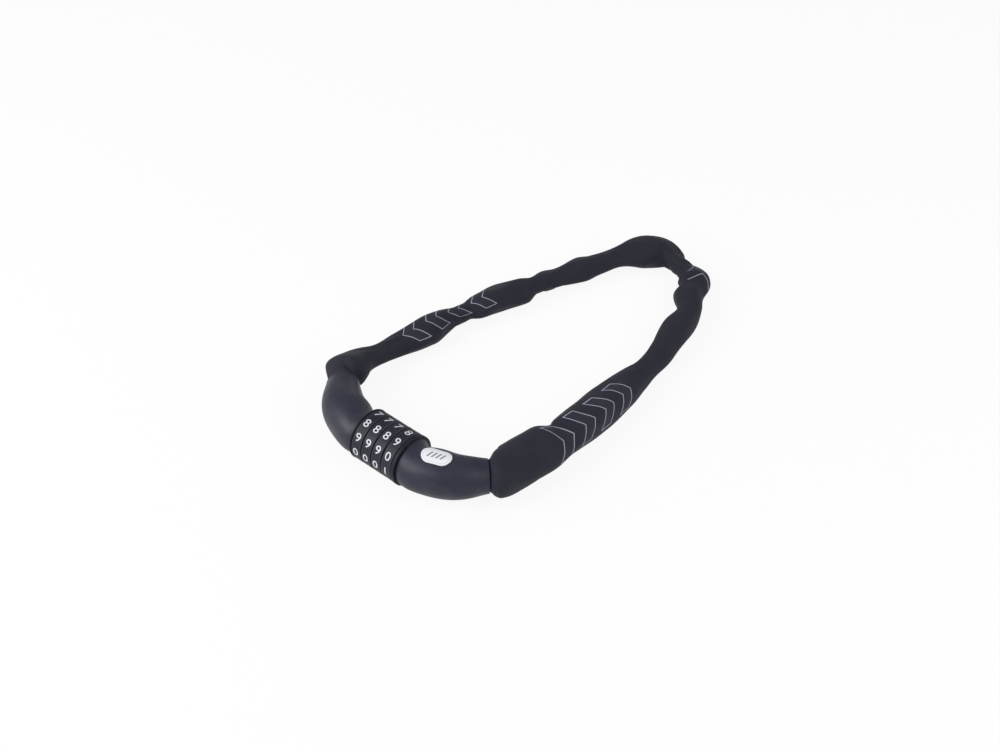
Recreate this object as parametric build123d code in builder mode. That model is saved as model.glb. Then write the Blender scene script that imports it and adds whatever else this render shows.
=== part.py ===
"""Four-dial combination chain lock: a coded body that closes a sleeved steel chain into a loop.

Millimetres, +Z up, floor at z = 0. The dial axis runs along X, the loop lies towards +Y, and the
origin is under the middle of the whole lock. Side -1 is the arm with the barrel, side +1 the arm
with the locking bolt, which draws out along +X once the four code gates line up.
"""

from build123d import *
from math import cos, pi, radians, sin, tan
import os

os.makedirs("parts", exist_ok=True)

# --- Driving dimensions -------------------------------------------------------------------------

# Where the lock body lies, so that the origin is under the middle of the whole lock
lock_x = -0.67  # the middle of the dial pack
lock_y = -114.18  # the dial axis

# Clearances
run_clearance = 0.08  # radial, between parts that turn or slide on each other
seat_clearance = 0.05  # between parts of one body that are fitted together
side_clearance = 0.15  # between faces that pass each other
soft_clearance = 0.3  # round the fabric sleeve and the chain

# Dials and collars
dial_radius = 14.5
dial_width = 7.0
dial_gap = 0.2
dial_count = 4
digit_count = 10
edge_round = 0.9
collar_proud = 0.2  # the collars stand out past the dials and carry the body on the floor
collar_round = 0.5
thin_collar_width = 1.1
thin_collar_web = 0.4  # the part of its width that seats on the barrel
wide_collar_width = 2.4

# Code rings, fixed inside the dials
code_ring_radius = 10.0
hub_width = 3.0
rim_wall = 1.8
spline_height = 0.8
spline_width = 1.5
flange_width = 2.0
flange_bore_radius = 7.5
detent_depth = 0.7
detent_width = 2.6

# Barrel, locking bolt and spring
bolt_radius = 3.5
bolt_seat = 12.0  # how far the bolt reaches into its arm
bolt_nose = 0.8
barrel_wall = 1.4
barrel_seat = 13.0  # how far the barrel reaches into its arm
tooth_height = 3.1
tooth_length = 1.6
tooth_width = 2.6
clip_width = 0.8
clip_depth = 0.6
clip_height = 1.9
spring_thick = 0.35
spring_width = 2.0
spring_hump_base = 2.0
spring_hump_top = 1.0
spring_hump_middle = 0.5  # from a dial's face
pin_radius = 1.25

# Arms: round sections, at shares of the arm's length from the dial pack
arm_lead = 3.6  # straight, before the bend
arm_bend_radius = 38.0
arm_bend = 45.6  # degrees
arm_straight = 9.4  # past the bend
arm_shares = [0, 0.33, 0.555, 0.73, 0.845, 0.937]
arm_radii = [13.1, 13.0, 12.4, 11.4, 10.5, 9.7]
cavity_stations = 4  # how many of them the hollow for the core follows
mouth_radius = 9.3
mouth_wall = 0.9
cover_wall = 2.5
cavity_lap = 0.8  # how far the hollow's straight stretch runs back into its bent one
cavity_relief = 0.25  # how much wider it is there
fork_reach = 7.5  # the fork's jaws, past the end of the bend
fork_slot_back = 12.0  # the floor of the fork's slot, before the end of the bend
chain_pin_radius = 2.0
chain_pin_back = 4.2  # the pin, before the end of the bend
chain_pin_inset = 1.0  # its ends, inside the core's surface
cross_pin_inset = 2.0
cut_past = 1.0  # how far a cut runs on past what it cuts
ferrule_wall = 0.45
ferrule_width = 3.6
ferrule_start = 1.2  # past the end of the bend
badge_length = 16.6
badge_width = 10.3
badge_along = 16.0
badge_turn = 22.0  # degrees from the dial axis
badge_thick = 0.9
badge_proud = 0.25

# Sleeve and chain
sleeve_radius = 8.1
sleeve_wall = 0.8
sleeve_start = 0.2  # past the end of the bend
sleeve_first_run = 12.5
link_wire = 2.9
link_play = 1.5  # the width of a link's hole past its wire
link_chamfer = 0.6
link_count = 27  # odd, so that the links on both pins lie flat

# --- Sizes that follow --------------------------------------------------------------------------

collar_radius = dial_radius + collar_proud
lock_z = collar_radius
dial_pitch = dial_width + dial_gap
pack_length = thin_collar_width + dial_count * dial_pitch + dial_gap + wide_collar_width
pack_end = pack_length / 2
first_dial = -pack_end + thin_collar_width + dial_gap
collar_face = pack_end - wide_collar_width

barrel_bore = bolt_radius + run_clearance
barrel_radius = barrel_bore + barrel_wall
ring_bore = barrel_radius + run_clearance
hub_start = flange_width + side_clearance
rim_end = dial_width - side_clearance
tooth_tip = bolt_radius + tooth_height
tooth_start = flange_width - side_clearance - tooth_length
gate_width = tooth_width + 2 * side_clearance
gate_tip = tooth_tip + side_clearance
clip_start = collar_face + side_clearance
clip_tip = barrel_radius + clip_height
barrel_end = clip_start + clip_width + clip_depth
spring_seat = barrel_radius - spring_thick - seat_clearance
spring_tip = flange_bore_radius + detent_depth - side_clearance

bend_length = radians(arm_bend) * arm_bend_radius
bend_end = arm_lead + bend_length
arm_length = bend_end + arm_straight
arm_sections = [(share * arm_length, radius) for share, radius in zip(arm_shares, arm_radii)]
cavity_sections = [(along, radius - cover_wall) for along, radius in arm_sections[:cavity_stations]]
neck_start = cavity_sections[-1][0] - bend_end - cavity_lap
sleeve_bore = sleeve_radius - sleeve_wall
neck_radius = sleeve_bore - soft_clearance
ferrule_bore = sleeve_radius + soft_clearance
mouth_bore = mouth_radius - mouth_wall
cavity_end = ferrule_start + ferrule_width + side_clearance
link_hole = link_wire + link_play
link_width = link_hole + 2 * link_wire


# --- Planes and points --------------------------------------------------------------------------


def axis_plane(x):
    """Across the dial axis at x from the pack's middle, with its x along +Y and its y along +Z."""
    return Plane(origin=(lock_x + x, lock_y, lock_z), x_dir=(0, 1, 0), z_dir=(1, 0, 0))


def arm_plane(side, along):
    """Across an arm, at a distance along it from the dial pack, facing the mouth."""
    lead = min(along, arm_lead)
    past = max(along - bend_end, 0)
    turned = (along - lead - past) / arm_bend_radius
    x = pack_end + lead + arm_bend_radius * sin(turned) + past * cos(turned)
    y = arm_bend_radius * (1 - cos(turned)) + past * sin(turned)
    return Plane(
        origin=(lock_x + side * x, lock_y + y, lock_z),
        x_dir=(0, 0, 1),
        z_dir=(side * cos(turned), sin(turned), 0),
    )


def mouth_plane(side, past):
    """Across the straight axis of an arm's mouth, at a distance past the end of the bend."""
    end = arm_plane(side, bend_end)
    return Plane(origin=end.origin + end.z_dir * past, x_dir=end.x_dir, z_dir=end.z_dir)


def dial_face(number):
    """Where a dial's face on the thin collar's side is, from the pack's middle."""
    return first_dial + (number - 1) * dial_pitch


# --- Dials and their code rings -----------------------------------------------------------------

for number in range(1, dial_count + 1):
    face = dial_face(number)

    with BuildPart() as dial:
        with BuildSketch(axis_plane(face)):
            Circle(dial_radius)
        extrude(amount=dial_width)
        fillet(dial.edges().filter_by(GeomType.CIRCLE), edge_round)
        with BuildSketch(axis_plane(face)):
            Circle(flange_bore_radius)
            with PolarLocations(flange_bore_radius, digit_count, start_angle=-90):
                Rectangle(2 * detent_depth, detent_width)
        extrude(amount=flange_width, mode=Mode.SUBTRACT)
        with BuildSketch(axis_plane(face + flange_width)):
            Circle(code_ring_radius + seat_clearance)
            with PolarLocations(code_ring_radius, digit_count, start_angle=90):
                Rectangle(2 * (spline_height + seat_clearance), spline_width + 2 * seat_clearance)
        extrude(amount=dial_width, mode=Mode.SUBTRACT)
    dial.part.label = f"dial_{number}"
    export_step(dial.part, f"parts/dial_{number}.step")

    with BuildPart() as code_ring:
        with BuildSketch(axis_plane(face + hub_start)):
            Circle(code_ring_radius)
            with PolarLocations(code_ring_radius, digit_count, start_angle=90):
                Rectangle(2 * spline_height, spline_width)
        extrude(amount=rim_end - hub_start)
        with BuildSketch(axis_plane(face + hub_start)):
            Circle(ring_bore)
            with Locations((0, gate_tip / 2)):
                Rectangle(gate_width, gate_tip)
        extrude(amount=hub_width, mode=Mode.SUBTRACT)
        with BuildSketch(axis_plane(face + hub_start + hub_width)):
            Circle(code_ring_radius - rim_wall)
        extrude(amount=dial_width, mode=Mode.SUBTRACT)
    code_ring.part.label = f"code_ring_{number}"
    export_step(code_ring.part, f"parts/code_ring_{number}.step")

# --- Barrel, clip, spring and collars -----------------------------------------------------------

barrel_start = -pack_end - barrel_seat

with BuildPart() as barrel:
    with BuildSketch(axis_plane(barrel_start)):
        Circle(barrel_radius)
        Circle(barrel_bore, mode=Mode.SUBTRACT)
    extrude(amount=barrel_end - barrel_start)
    with BuildSketch(axis_plane(-pack_end)):
        with Locations((0, tooth_tip / 2)):
            Rectangle(gate_width, tooth_tip)
    extrude(amount=barrel_end + pack_end, mode=Mode.SUBTRACT)
    with BuildSketch(axis_plane(-pack_end)):
        with Locations((0, seat_clearance - spring_seat - barrel_wall / 2)):
            Rectangle(spring_width + 2 * side_clearance, barrel_wall)
    extrude(amount=barrel_end + pack_end, mode=Mode.SUBTRACT)
    with BuildSketch(axis_plane(clip_start)):
        Circle(barrel_radius)
        Circle(barrel_radius - clip_depth, mode=Mode.SUBTRACT)
    extrude(amount=clip_width, mode=Mode.SUBTRACT)
    with BuildSketch(Plane.XY.offset(lock_z)):
        with Locations((lock_x - pack_end - barrel_seat / 2, lock_y)):
            Circle(pin_radius)
    extrude(amount=barrel_radius, both=True, mode=Mode.SUBTRACT)
barrel.part.label = "barrel"
export_step(barrel.part, "parts/barrel.step")

with BuildPart() as retaining_clip:
    with BuildSketch(axis_plane(clip_start + seat_clearance)):
        Circle(clip_tip)
        Circle(barrel_radius - clip_depth + seat_clearance, mode=Mode.SUBTRACT)
        with Locations((0, clip_tip)):
            Rectangle(gate_width, 2 * clip_tip, mode=Mode.SUBTRACT)
    extrude(amount=clip_width - 2 * seat_clearance)
retaining_clip.part.label = "retaining_clip"
export_step(retaining_clip.part, "parts/retaining_clip.step")

with BuildPart() as detent_spring:
    with BuildSketch(Plane(origin=(lock_x, lock_y, lock_z), x_dir=(1, 0, 0), z_dir=(0, -1, 0))):
        with BuildLine():
            strip = [(-pack_end + side_clearance, -spring_seat)]
            for number in range(1, dial_count + 1):
                middle = dial_face(number) + spring_hump_middle
                strip.append((middle - spring_hump_base / 2, -spring_seat))
                strip.append((middle - spring_hump_top / 2, spring_thick - spring_tip))
                strip.append((middle + spring_hump_top / 2, spring_thick - spring_tip))
                strip.append((middle + spring_hump_base / 2, -spring_seat))
            strip.append((clip_start - side_clearance, -spring_seat))
            Polyline(*strip)
            offset(amount=spring_thick, side=Side.RIGHT)
        make_face()
    extrude(amount=spring_width / 2, both=True)
detent_spring.part.label = "detent_spring"
export_step(detent_spring.part, "parts/detent_spring.step")

with BuildPart() as thin_collar:
    with BuildSketch(axis_plane(-pack_end)):
        Circle(collar_radius)
        Circle(barrel_radius + seat_clearance, mode=Mode.SUBTRACT)
    extrude(amount=thin_collar_width)
    with BuildSketch(axis_plane(-pack_end + thin_collar_web)):
        Circle(spring_tip + side_clearance)
    extrude(amount=thin_collar_width, mode=Mode.SUBTRACT)
    fillet(thin_collar.edges().filter_by(GeomType.CIRCLE).group_by(SortBy.RADIUS)[-1], collar_round)
thin_collar.part.label = "thin_collar"
export_step(thin_collar.part, "parts/thin_collar.step")

with BuildPart() as wide_collar:
    with BuildSketch(axis_plane(collar_face)):
        Circle(collar_radius)
        Circle(bolt_radius + seat_clearance, mode=Mode.SUBTRACT)
    extrude(amount=wide_collar_width)
    with BuildSketch(axis_plane(collar_face)):
        Circle(clip_tip + side_clearance)
    extrude(amount=barrel_end - collar_face + side_clearance, mode=Mode.SUBTRACT)
    fillet(wide_collar.edges().filter_by(GeomType.CIRCLE).group_by(SortBy.RADIUS)[-1], collar_round)
wide_collar.part.label = "wide_collar"
export_step(wide_collar.part, "parts/wide_collar.step")

# --- Locking bolt with its row of teeth ---------------------------------------------------------

bolt_start = dial_face(1) + tooth_start - bolt_nose
bolt_end = pack_end + bolt_seat

with BuildPart() as locking_bolt:
    with BuildSketch(axis_plane(bolt_start)):
        Circle(bolt_radius)
    extrude(amount=bolt_end - bolt_start)
    chamfer(locking_bolt.faces().sort_by(Axis.X)[0].edges(), bolt_nose / 2)
    for number in range(1, dial_count + 1):
        with BuildSketch(axis_plane(dial_face(number) + tooth_start)):
            with Locations((0, tooth_tip / 2)):
                Rectangle(tooth_width, tooth_tip)
        extrude(amount=tooth_length)
    with BuildSketch(Plane.XY.offset(lock_z)):
        with Locations((lock_x + pack_end + bolt_seat / 2, lock_y)):
            Circle(pin_radius)
    extrude(amount=bolt_radius, both=True, mode=Mode.SUBTRACT)
locking_bolt.part.label = "locking_bolt"
export_step(locking_bolt.part, "parts/locking_bolt.step")

# --- Badge on the bolt's arm, a thin plate that follows the arm's round ---------------------------

badge_seat = arm_plane(1, badge_along).origin
badge_plane = Plane(
    origin=(badge_seat.X, badge_seat.Y, lock_z),
    x_dir=(cos(radians(badge_turn)), sin(radians(badge_turn)), 0),
    z_dir=(0, 0, 1),
)

with BuildPart() as badge:
    for along, radius in arm_sections:
        with BuildSketch(arm_plane(1, along)):
            Circle(radius + badge_proud)
    loft()
    for along, radius in arm_sections:
        with BuildSketch(arm_plane(1, along)):
            Circle(radius + badge_proud - badge_thick)
    loft(mode=Mode.SUBTRACT)
    with BuildSketch(badge_plane):
        SlotOverall(badge_length, badge_width)
    extrude(amount=2 * collar_radius, mode=Mode.INTERSECT)
badge.part.label = "badge"
export_step(badge.part, "parts/badge.step")

with BuildPart() as badge_pocket:
    with BuildSketch(badge_plane):
        SlotOverall(badge_length + 2 * seat_clearance, badge_width + 2 * seat_clearance)
    extrude(amount=2 * collar_radius)
    for along, radius in arm_sections:
        with BuildSketch(arm_plane(1, along)):
            Circle(radius + badge_proud - badge_thick - seat_clearance)
    loft(mode=Mode.SUBTRACT)

# --- The two arms -------------------------------------------------------------------------------

arms = [
    (-1, "barrel", barrel_radius, barrel_seat),
    (1, "bolt", bolt_radius, bolt_seat),
]

for side, holds, shank_radius, shank_seat in arms:
    pin_x = lock_x + side * (pack_end + shank_seat / 2)

    with BuildPart() as arm_core:
        for along, radius in cavity_sections:
            with BuildSketch(arm_plane(side, along)):
                Circle(radius - seat_clearance)
        loft()
        with BuildSketch(mouth_plane(side, neck_start)):
            Circle(neck_radius)
        extrude(amount=fork_reach - neck_start)
        with BuildSketch(axis_plane(0)):
            Circle(shank_radius + seat_clearance)
        extrude(amount=side * (pack_end + shank_seat + side_clearance), mode=Mode.SUBTRACT)
        with BuildSketch(mouth_plane(side, -fork_slot_back)):
            Rectangle(link_wire + 2 * soft_clearance, 4 * neck_radius)
        extrude(amount=fork_slot_back + fork_reach + cut_past, mode=Mode.SUBTRACT)
        with BuildSketch(Plane.XY.offset(lock_z)):
            with Locations((pin_x, lock_y)):
                Circle(pin_radius + seat_clearance)
            with Locations(mouth_plane(side, -chain_pin_back).origin):
                Circle(chain_pin_radius + seat_clearance)
        extrude(amount=collar_radius, both=True, mode=Mode.SUBTRACT)
    arm_core.part.label = f"{holds}_arm_core"
    export_step(arm_core.part, f"parts/{holds}_arm_core.step")

    with BuildPart() as arm_cover:
        for along, radius in arm_sections + [(arm_length, mouth_radius)]:
            with BuildSketch(arm_plane(side, along)):
                Circle(radius)
        loft()
        for along, radius in cavity_sections:
            with BuildSketch(arm_plane(side, along)):
                Circle(radius)
        loft(mode=Mode.SUBTRACT)
        with BuildSketch(mouth_plane(side, neck_start)):
            Circle(cavity_sections[-1][1] + cavity_relief)
        extrude(amount=cavity_end - neck_start, mode=Mode.SUBTRACT)
        with BuildSketch(mouth_plane(side, 0)):
            Circle(mouth_bore)
        extrude(amount=arm_straight + cut_past, mode=Mode.SUBTRACT)
        if side == 1:
            add(badge_pocket.part, mode=Mode.SUBTRACT)
    arm_cover.part.label = f"{holds}_arm_cover"
    export_step(arm_cover.part, f"parts/{holds}_arm_cover.step")

    with BuildPart() as cross_pin:
        with BuildSketch(Plane.XY.offset(lock_z)):
            with Locations((pin_x, lock_y)):
                Circle(pin_radius - seat_clearance)
        extrude(amount=cavity_sections[0][1] - cross_pin_inset, both=True)
    cross_pin.part.label = f"{holds}_cross_pin"
    export_step(cross_pin.part, f"parts/{holds}_cross_pin.step")

    with BuildPart() as chain_pin:
        with BuildSketch(Plane.XY.offset(lock_z)):
            with Locations(mouth_plane(side, -chain_pin_back).origin):
                Circle(chain_pin_radius)
        extrude(amount=cavity_sections[-1][1] - chain_pin_inset, both=True)
    chain_pin.part.label = f"{holds}_chain_pin"
    export_step(chain_pin.part, f"parts/{holds}_chain_pin.step")

    with BuildPart() as ferrule:
        with BuildSketch(mouth_plane(side, ferrule_start)):
            Circle(ferrule_bore + ferrule_wall)
            Circle(ferrule_bore, mode=Mode.SUBTRACT)
        extrude(amount=ferrule_width)
    ferrule.part.label = f"{holds}_ferrule"
    export_step(ferrule.part, f"parts/{holds}_ferrule.step")

# --- Sleeve and chain ---------------------------------------------------------------------------

# The sleeve's line on the floor, from the bolt's mouth round the loop to the barrel's mouth,
# as x from the pack's middle, distance from the dial axis and height
loop_points = [
    (60.2, 32.5, 13.4),
    (61.4, 46.0, 12.2),
    (62.7, 69.1, 11.2),
    (63.4, 99.1, 10.2),
    (62.9, 128.2, 9.2),
    (60.4, 157.3, 8.6),
    (55.9, 180.6, 8.6),
    (49.8, 199.8, 8.6),
    (44.5, 215.1, 8.6),
    (35.0, 227.0, 8.6),
    (21.3, 234.2, 8.6),
    (6.3, 235.4, 8.6),
    (-6.5, 228.9, 8.6),
    (-14.1, 215.8, 8.6),
    (-20.4, 198.0, 8.6),
    (-26.7, 179.3, 8.6),
    (-34.7, 157.6, 8.6),
    (-42.3, 135.0, 8.6),
    (-49.4, 110.3, 8.6),
    (-54.5, 85.5, 8.8),
    (-59.3, 60.7, 9.6),
    (-62.2, 44.5, 11.2),
    (-61.4, 33.0, 13.4),
]


def tangent_radii(points):
    """For each corner, the radius of an arc that takes 0.45 of the shorter run beside it."""
    radii = []
    for before, corner, after in zip(points, points[1:], points[2:]):
        turn = radians((corner - before).get_angle(after - corner))
        shorter = min((corner - before).length, (after - corner).length)
        radii.append(0.45 * shorter / tan(turn / 2))
    return radii


route = [mouth_plane(1, sleeve_start).origin, mouth_plane(1, sleeve_start + sleeve_first_run).origin]
route += [Vector(lock_x + x, lock_y + out, z) for x, out, z in loop_points]
route += [mouth_plane(-1, sleeve_start + sleeve_first_run).origin, mouth_plane(-1, sleeve_start).origin]
radii = tangent_radii(route)
print("sleeve radii", [round(r) for r in radii])

with BuildPart() as sleeve:
    with BuildLine():
        sleeve_line = FilletPolyline(*route, radius=radii)
    with BuildSketch(mouth_plane(1, sleeve_start)):
        Circle(sleeve_radius)
        Circle(sleeve_bore, mode=Mode.SUBTRACT)
    sweep(path=sleeve_line)
sleeve.part.label = "sleeve"
export_step(sleeve.part, "parts/sleeve.step")
section = pi * (sleeve_radius**2 - sleeve_bore**2)
print("sleeve volume", round(sleeve.part.volume), "section x length", round(section * sleeve_line.length))

# The chain follows the same line, from one chain pin to the other and a little past it
spare = link_width
with BuildLine() as chain_line:
    Line(mouth_plane(1, -chain_pin_back).origin, sleeve_line @ 0)
    add(sleeve_line)
    Line(sleeve_line @ 1, mouth_plane(-1, -chain_pin_back - spare).origin)
chain_wire = chain_line.wires()[0]
chain_length = chain_wire.length - spare


def on_chain(distance):
    """The point that far along the chain's line."""
    return chain_wire.position_at(distance, position_mode=PositionMode.LENGTH)


def hang_links(inside):
    """Where links of that inner length meet, as distances along the chain's line.

    Flat links and upright ones take turns. An upright link's end wire turns in the round end of
    a flat link's hole, so they meet where the middle of the one is the middle of the other.
    """
    meets = [0]
    for number in range(link_count):
        span = inside + link_wire if number % 2 else inside - link_hole
        step = span
        for again in range(4):
            step += span - (on_chain(meets[-1] + step) - on_chain(meets[-1])).length
        meets.append(meets[-1] + step)
    return meets


# The links' inner length is the one that ends the chain at the second pin
link_inside = chain_length / link_count
for again in range(6):
    meets = hang_links(link_inside)
    link_inside += (chain_length - meets[-1]) / link_count
print("chain from pin to pin", round(chain_length, 1), "link inside", round(link_inside, 2))

bend = (link_hole + link_wire) / 2  # the middle of the wire, round a link's ends
straight = (link_inside - link_hole) / 2

links = []
for number in range(link_count):
    start, end = on_chain(meets[number]), on_chain(meets[number + 1])
    along = (end - start).normalized()
    across = along.cross(Vector(0, 0, 1)).normalized()
    normal = across if number % 2 else across.cross(along)
    link_plane = Plane(origin=(start + end) / 2, x_dir=along, z_dir=normal)
    wire_plane = Plane(origin=link_plane.from_local_coords((0, bend)), x_dir=normal, z_dir=along)
    with BuildPart() as link:
        with BuildLine(link_plane) as ring:
            Line((0, bend), (straight, bend))
            ThreePointArc((straight, bend), (straight + bend, 0), (straight, -bend))
            Line((straight, -bend), (-straight, -bend))
            ThreePointArc((-straight, -bend), (-straight - bend, 0), (-straight, bend))
            Line((-straight, bend), (0, bend))
        with BuildSketch(wire_plane) as wire:
            Rectangle(link_wire, link_wire)
            chamfer(wire.vertices(), link_chamfer)
        sweep(path=ring.wires()[0])
    links.append(link.part)

chain_links = Compound(label="chain_links", children=links)
export_step(chain_links, "parts/chain_links.step")
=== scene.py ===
# %% [markdown]
# A combination chain lock, dressed for a picture. The metal and plastic parts come from the CAD
# model, which is loaded as a fixed frame of moving bodies. Blender adds what a CAD model can't:
# the soft fabric sleeve with its folds, the printed digits, and a real finish on every surface.
# Everything is in metres, in the frame of the CAD model, so a piece goes where the CAD says.

# %% Load the frame
from math import atan2, cos, pi, radians, sin, sqrt

import bmesh
import bpy
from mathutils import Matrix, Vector, noise
from mathutils.kdtree import KDTree


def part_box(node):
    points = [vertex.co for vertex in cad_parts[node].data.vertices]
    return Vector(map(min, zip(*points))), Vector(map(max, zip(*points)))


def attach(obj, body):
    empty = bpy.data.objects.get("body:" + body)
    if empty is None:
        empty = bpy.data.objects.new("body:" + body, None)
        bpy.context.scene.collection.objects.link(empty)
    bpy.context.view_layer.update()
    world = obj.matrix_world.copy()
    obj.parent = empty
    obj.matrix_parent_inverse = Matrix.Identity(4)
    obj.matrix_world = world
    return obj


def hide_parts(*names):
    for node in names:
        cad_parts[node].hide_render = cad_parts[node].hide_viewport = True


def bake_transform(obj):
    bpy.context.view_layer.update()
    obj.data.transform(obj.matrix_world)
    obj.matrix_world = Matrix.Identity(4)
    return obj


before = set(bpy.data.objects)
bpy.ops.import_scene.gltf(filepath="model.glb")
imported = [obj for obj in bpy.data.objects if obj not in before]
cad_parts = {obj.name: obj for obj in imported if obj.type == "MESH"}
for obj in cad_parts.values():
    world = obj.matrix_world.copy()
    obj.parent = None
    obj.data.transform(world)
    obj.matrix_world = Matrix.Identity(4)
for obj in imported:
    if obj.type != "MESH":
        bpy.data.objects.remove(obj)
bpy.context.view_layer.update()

MM = 0.001
scene = bpy.context.scene

# %% [markdown]
# The dials turn about one axis, and a few sizes on the lock body are wanted again and again: the
# height and the place of that axis, and each dial's middle. They are read from the nodes' boxes,
# so that the digits stay on their dials if the CAD model changes.

# %% Measure the lock body
dial_boxes = [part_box(f"dial_{number}") for number in (1, 2, 3, 4)]
dial_middles = [(low.x + high.x) / 2 for low, high in dial_boxes]
axis_y = (dial_boxes[0][0].y + dial_boxes[0][1].y) / 2
axis_z = (dial_boxes[0][0].z + dial_boxes[0][1].z) / 2
dial_radius = (dial_boxes[0][1].z - dial_boxes[0][0].z) / 2
print("dial middles", [round(x / MM, 2) for x in dial_middles], "radius", round(dial_radius / MM, 2))

# %% [markdown]
# The camera stands in front of the lock and to its right, a little under a metre away, and looks
# down on it with a slightly long lens, as for a catalogue picture. It is placed first, because the
# sleeve's lie is judged through it.

# %% Place the camera
look_at = Vector((-0.00475, -0.02048, 0.0))
camera_distance, camera_turn, camera_height = 0.9, radians(40.9), radians(42)
camera = bpy.data.objects.new("camera", bpy.data.cameras.new("camera"))
scene.collection.objects.link(camera)
camera.location = look_at + camera_distance * Vector(
    (sin(camera_turn) * cos(camera_height), -cos(camera_turn) * cos(camera_height), sin(camera_height))
)
camera.rotation_euler = (look_at - camera.location).to_track_quat("-Z", "Y").to_euler()
camera.data.sensor_width = 36
camera.data.lens = 56.7
camera.data.clip_start = 10 * MM
scene.camera = camera
print("camera at", [round(x, 4) for x in camera.location])

# %% [markdown]
# A few helpers serve the pieces. A new object is made from a bmesh, and it stays at the origin with
# its place in its mesh. Shapes that change along a line are said in a table, which is read on a
# smooth curve through its rows.

# %% Helpers for new pieces
def piece_from(name, form, material=None, smooth=True):
    """A new object from a bmesh, which is used up."""
    mesh = bpy.data.meshes.new(name)
    form.to_mesh(mesh)
    form.free()
    piece = bpy.data.objects.new(name, mesh)
    scene.collection.objects.link(piece)
    if material is not None:
        mesh.materials.append(material)
    for face in mesh.polygons:
        face.use_smooth = smooth
    print(name, len(mesh.polygons), "faces")
    return piece


def smooth_step(low, high, value):
    """0 before low, 1 past high, and an even turn between them."""
    share = min(max((value - low) / (high - low), 0.0), 1.0)
    return share * share * (3 - 2 * share)


def along_table(table, place):
    """A row's values at a place, from rows that start with theirs, on a smooth line through them."""
    number = max(1, next((n for n, row in enumerate(table) if row[0] > place), len(table) - 1))
    first, last = table[number - 1], table[number]
    ahead, beyond = table[max(number - 2, 0)], table[min(number + 1, len(table) - 1)]
    width = last[0] - first[0]
    share = min(max((place - first[0]) / width, 0.0), 1.0)
    values = []
    for a, b, c, d in zip(ahead[1:], first[1:], last[1:], beyond[1:]):
        leaving = (c - a) / (last[0] - ahead[0]) * width
        arriving = (d - b) / (beyond[0] - first[0]) * width
        bend = 3 * (c - b) - 2 * leaving - arriving
        rest = leaving + arriving - 2 * (c - b)
        values.append(b + share * (leaving + share * (bend + share * rest)))
    return values


# %% [markdown]
# The sleeve is a tube of woven nylon drawn over the chain. It starts in the mouth of the bolt's
# arm, lies round in a long loop on the floor, turns back at the far corner, and ends in the mouth
# of the barrel's arm. Its line is a NURBS curve on the same points that the CAD model's tube
# follows, each moved aside a little, because a loose sleeve doesn't lie even. A curve with no
# bevel becomes a mesh of plain points, which the tube is then made on.

# %% Draw the sleeve's line
cad_route = [
    (0.04647, -0.10262, 0.0147),
    (0.05522, -0.09369, 0.0147),
    (0.05953, -0.08168, 0.0134),
    (0.06073, -0.06818, 0.0122),
    (0.06203, -0.04508, 0.0112),
    (0.06273, -0.01508, 0.0102),
    (0.06223, 0.01402, 0.0092),
    (0.05973, 0.04312, 0.0086),
    (0.05523, 0.06642, 0.0086),
    (0.04913, 0.08562, 0.0086),
    (0.04383, 0.10092, 0.0086),
    (0.03433, 0.11282, 0.0086),
    (0.02063, 0.12002, 0.0086),
    (0.00563, 0.12122, 0.0086),
    (-0.00717, 0.11472, 0.0086),
    (-0.01477, 0.10162, 0.0086),
    (-0.02107, 0.08382, 0.0086),
    (-0.02737, 0.06512, 0.0086),
    (-0.03537, 0.04342, 0.0086),
    (-0.04297, 0.02082, 0.0086),
    (-0.05007, -0.00388, 0.0086),
    (-0.05517, -0.02868, 0.0088),
    (-0.05997, -0.05348, 0.0096),
    (-0.06287, -0.06968, 0.0112),
    (-0.06207, -0.08118, 0.0134),
    (-0.05656, -0.09369, 0.0147),
    (-0.04781, -0.10262, 0.0147),
]
moved_right = [
    0, 0, -2, -3, 0, 0.5, -0.5, 0, -1, 0.5, -4, 1, -1, 2.5, 1, 0.5, 0, 0.5, 1.5, 1.5, 2, 1, 0.5, 0,
    0, 1, 0,
]


def smooth_line(route):
    """The points of a NURBS curve on a route."""
    curve = bpy.data.curves.new("line", "CURVE")
    curve.dimensions = "3D"
    curve.resolution_u = 16
    spline = curve.splines.new("NURBS")
    spline.points.add(len(route) - 1)
    for point, place in zip(spline.points, route):
        point.co = (*place, 1.0)
    spline.order_u = 3
    spline.use_endpoint_u = True
    holder = bpy.data.objects.new("line", curve)
    mesh = bpy.data.meshes.new_from_object(holder)
    line = [vertex.co.copy() for vertex in mesh.vertices]
    bpy.data.objects.remove(holder)
    bpy.data.meshes.remove(mesh)
    return line


def move_aside(route, amounts):
    """The route's points, each moved to the right of the way on by so many millimetres."""
    points = [Vector(point) for point in route]
    ahead = points[1:] + points[-1:]
    behind = points[:1] + points[:-1]
    moved = []
    for point, before, after, amount in zip(points, behind, ahead, amounts):
        moved.append(point + (after - before).cross(Vector((0, 0, 1))).normalized() * amount * MM)
    return moved


cad_line = smooth_line(cad_route)
sleeve_route = move_aside(cad_route, moved_right)
sleeve_line = smooth_line(sleeve_route)
reached = [0.0]
for before, after in zip(sleeve_line, sleeve_line[1:]):
    reached.append(reached[-1] + (after - before).length)
sleeve_length = reached[-1]
print("sleeve line", len(sleeve_line), "points", round(sleeve_length / MM, 1), "mm")

# %% [markdown]
# The sleeve is not an even tube. It is gathered into the arms' mouths, swells as soon as it is
# free of them, goes slack and narrow between the swellings, and is folded over where the loop
# turns back. So a table has a row for each swelling and each waist, in millimetres: the distance
# along the line, and then how far the cloth lies to the left and to the right. Upwards it reaches
# half of that width in the mouths, where it is round, and a little less where it lies slack.

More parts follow.
